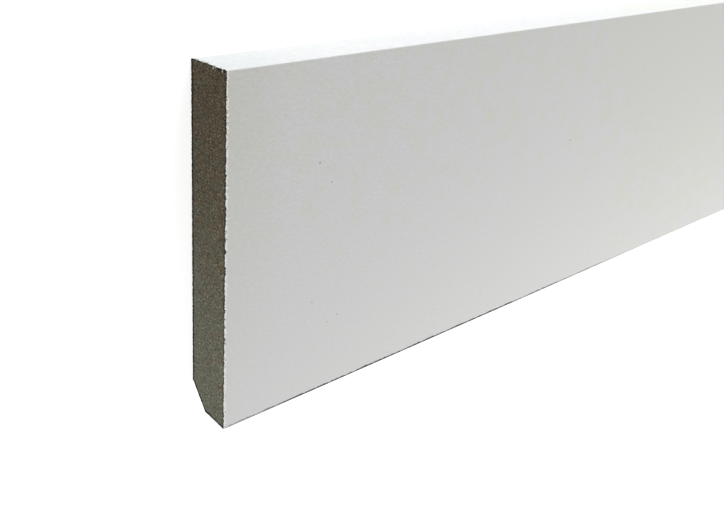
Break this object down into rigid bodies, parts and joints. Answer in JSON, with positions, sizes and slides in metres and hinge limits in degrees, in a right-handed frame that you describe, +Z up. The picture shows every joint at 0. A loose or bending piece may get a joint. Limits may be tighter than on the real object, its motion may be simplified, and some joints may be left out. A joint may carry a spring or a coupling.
{
  "type": "skirting board length",
  "caption": "Long flat skirting board of white-coated fibreboard, with a chamfer along one long corner and square sawn ends showing the bare board.",
  "frame": {"origin": "on the floor, under the middle of the board as it lies flat", "axes": "+X along the length, +Y across the width towards the square long edge, +Z up through the thickness, out of the broad square face"},
  "size_m": [2.4, 0.1, 0.016],
  "materials": {
    "white_coat": "satin white factory coat on medium density fibreboard, fine orange peel",
    "bare_fibreboard": "bare sawn fibreboard, matt grey-brown with pale and dark fibre specks"
  },
  "bodies": {
    "root": {"skirting_board": "white_coat"}
  },
  "joints": []
}
